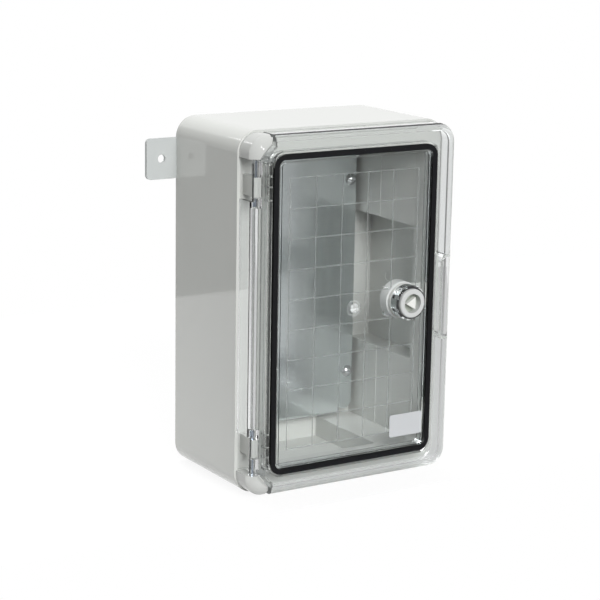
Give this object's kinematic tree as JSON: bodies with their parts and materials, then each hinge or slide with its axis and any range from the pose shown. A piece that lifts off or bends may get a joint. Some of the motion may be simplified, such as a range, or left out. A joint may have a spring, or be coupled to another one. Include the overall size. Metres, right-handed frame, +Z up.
{
  "type": "electrical distribution box",
  "caption": "Wall-mounted plastic distribution box with a clear hinged door, a black gasket, a key lock with a cam and a galvanised mounting plate inside.",
  "frame": {"origin": "middle of the back face of the body, where it meets the wall", "axes": "+X to the right of a person facing the door, +Y into the wall, +Z up"},
  "size_m": [0.256, 0.138, 0.3],
  "materials": {
    "grey_abs": "glossy moulded light grey plastic",
    "lock_plastic": "satin moulded light grey plastic",
    "lug_plastic": "matte moulded light grey plastic",
    "clear_polycarbonate": "clear polished plastic",
    "black_rubber": "matte foam rubber",
    "pale_silicone": "satin pale silicone",
    "galvanised_sheet": "dull zinc-coated sheet",
    "steel": "bright zinc-plated steel",
    "chrome": "polished chrome plate",
    "label_film": "plain satin label film"
  },
  "bodies": {
    "box": {"body": "grey_abs", "front_frame": "grey_abs", "upper_hinge_block": "grey_abs", "lower_hinge_block": "grey_abs", "hinge_block_screws": "steel", "upper_hinge_pin": "steel", "lower_hinge_pin": "steel", "mounting_plate": "galvanised_sheet", "plate_screws": "steel", "wall_lug_left": "lug_plastic", "wall_lug_right": "lug_plastic", "lug_screws": "steel"},
    "door": {"door": "clear_polycarbonate", "door_gasket": "black_rubber", "door_label": "label_film", "lock_housing": "lock_plastic", "lock_seal_ring": "pale_silicone", "lock_ring_nut": "chrome"},
    "latch": {"lock_rotor": "lock_plastic", "rotor_o_ring": "black_rubber", "lock_cam": "steel", "cam_washer": "steel", "cam_screw": "steel"}
  },
  "joints": [
    {"name": "door_hinge", "type": "hinge", "parent": "box", "child": "door", "pos_m": [-0.092, -0.1185, 0], "axis": [0, 0, -1], "range_deg": [0, 100]},
    {"name": "lock_turn", "type": "hinge", "parent": "door", "child": "latch", "pos_m": [0.0501, -0.12, 0.0017], "axis": [0, -1, 0], "range_deg": [0, 90]}
  ]
}
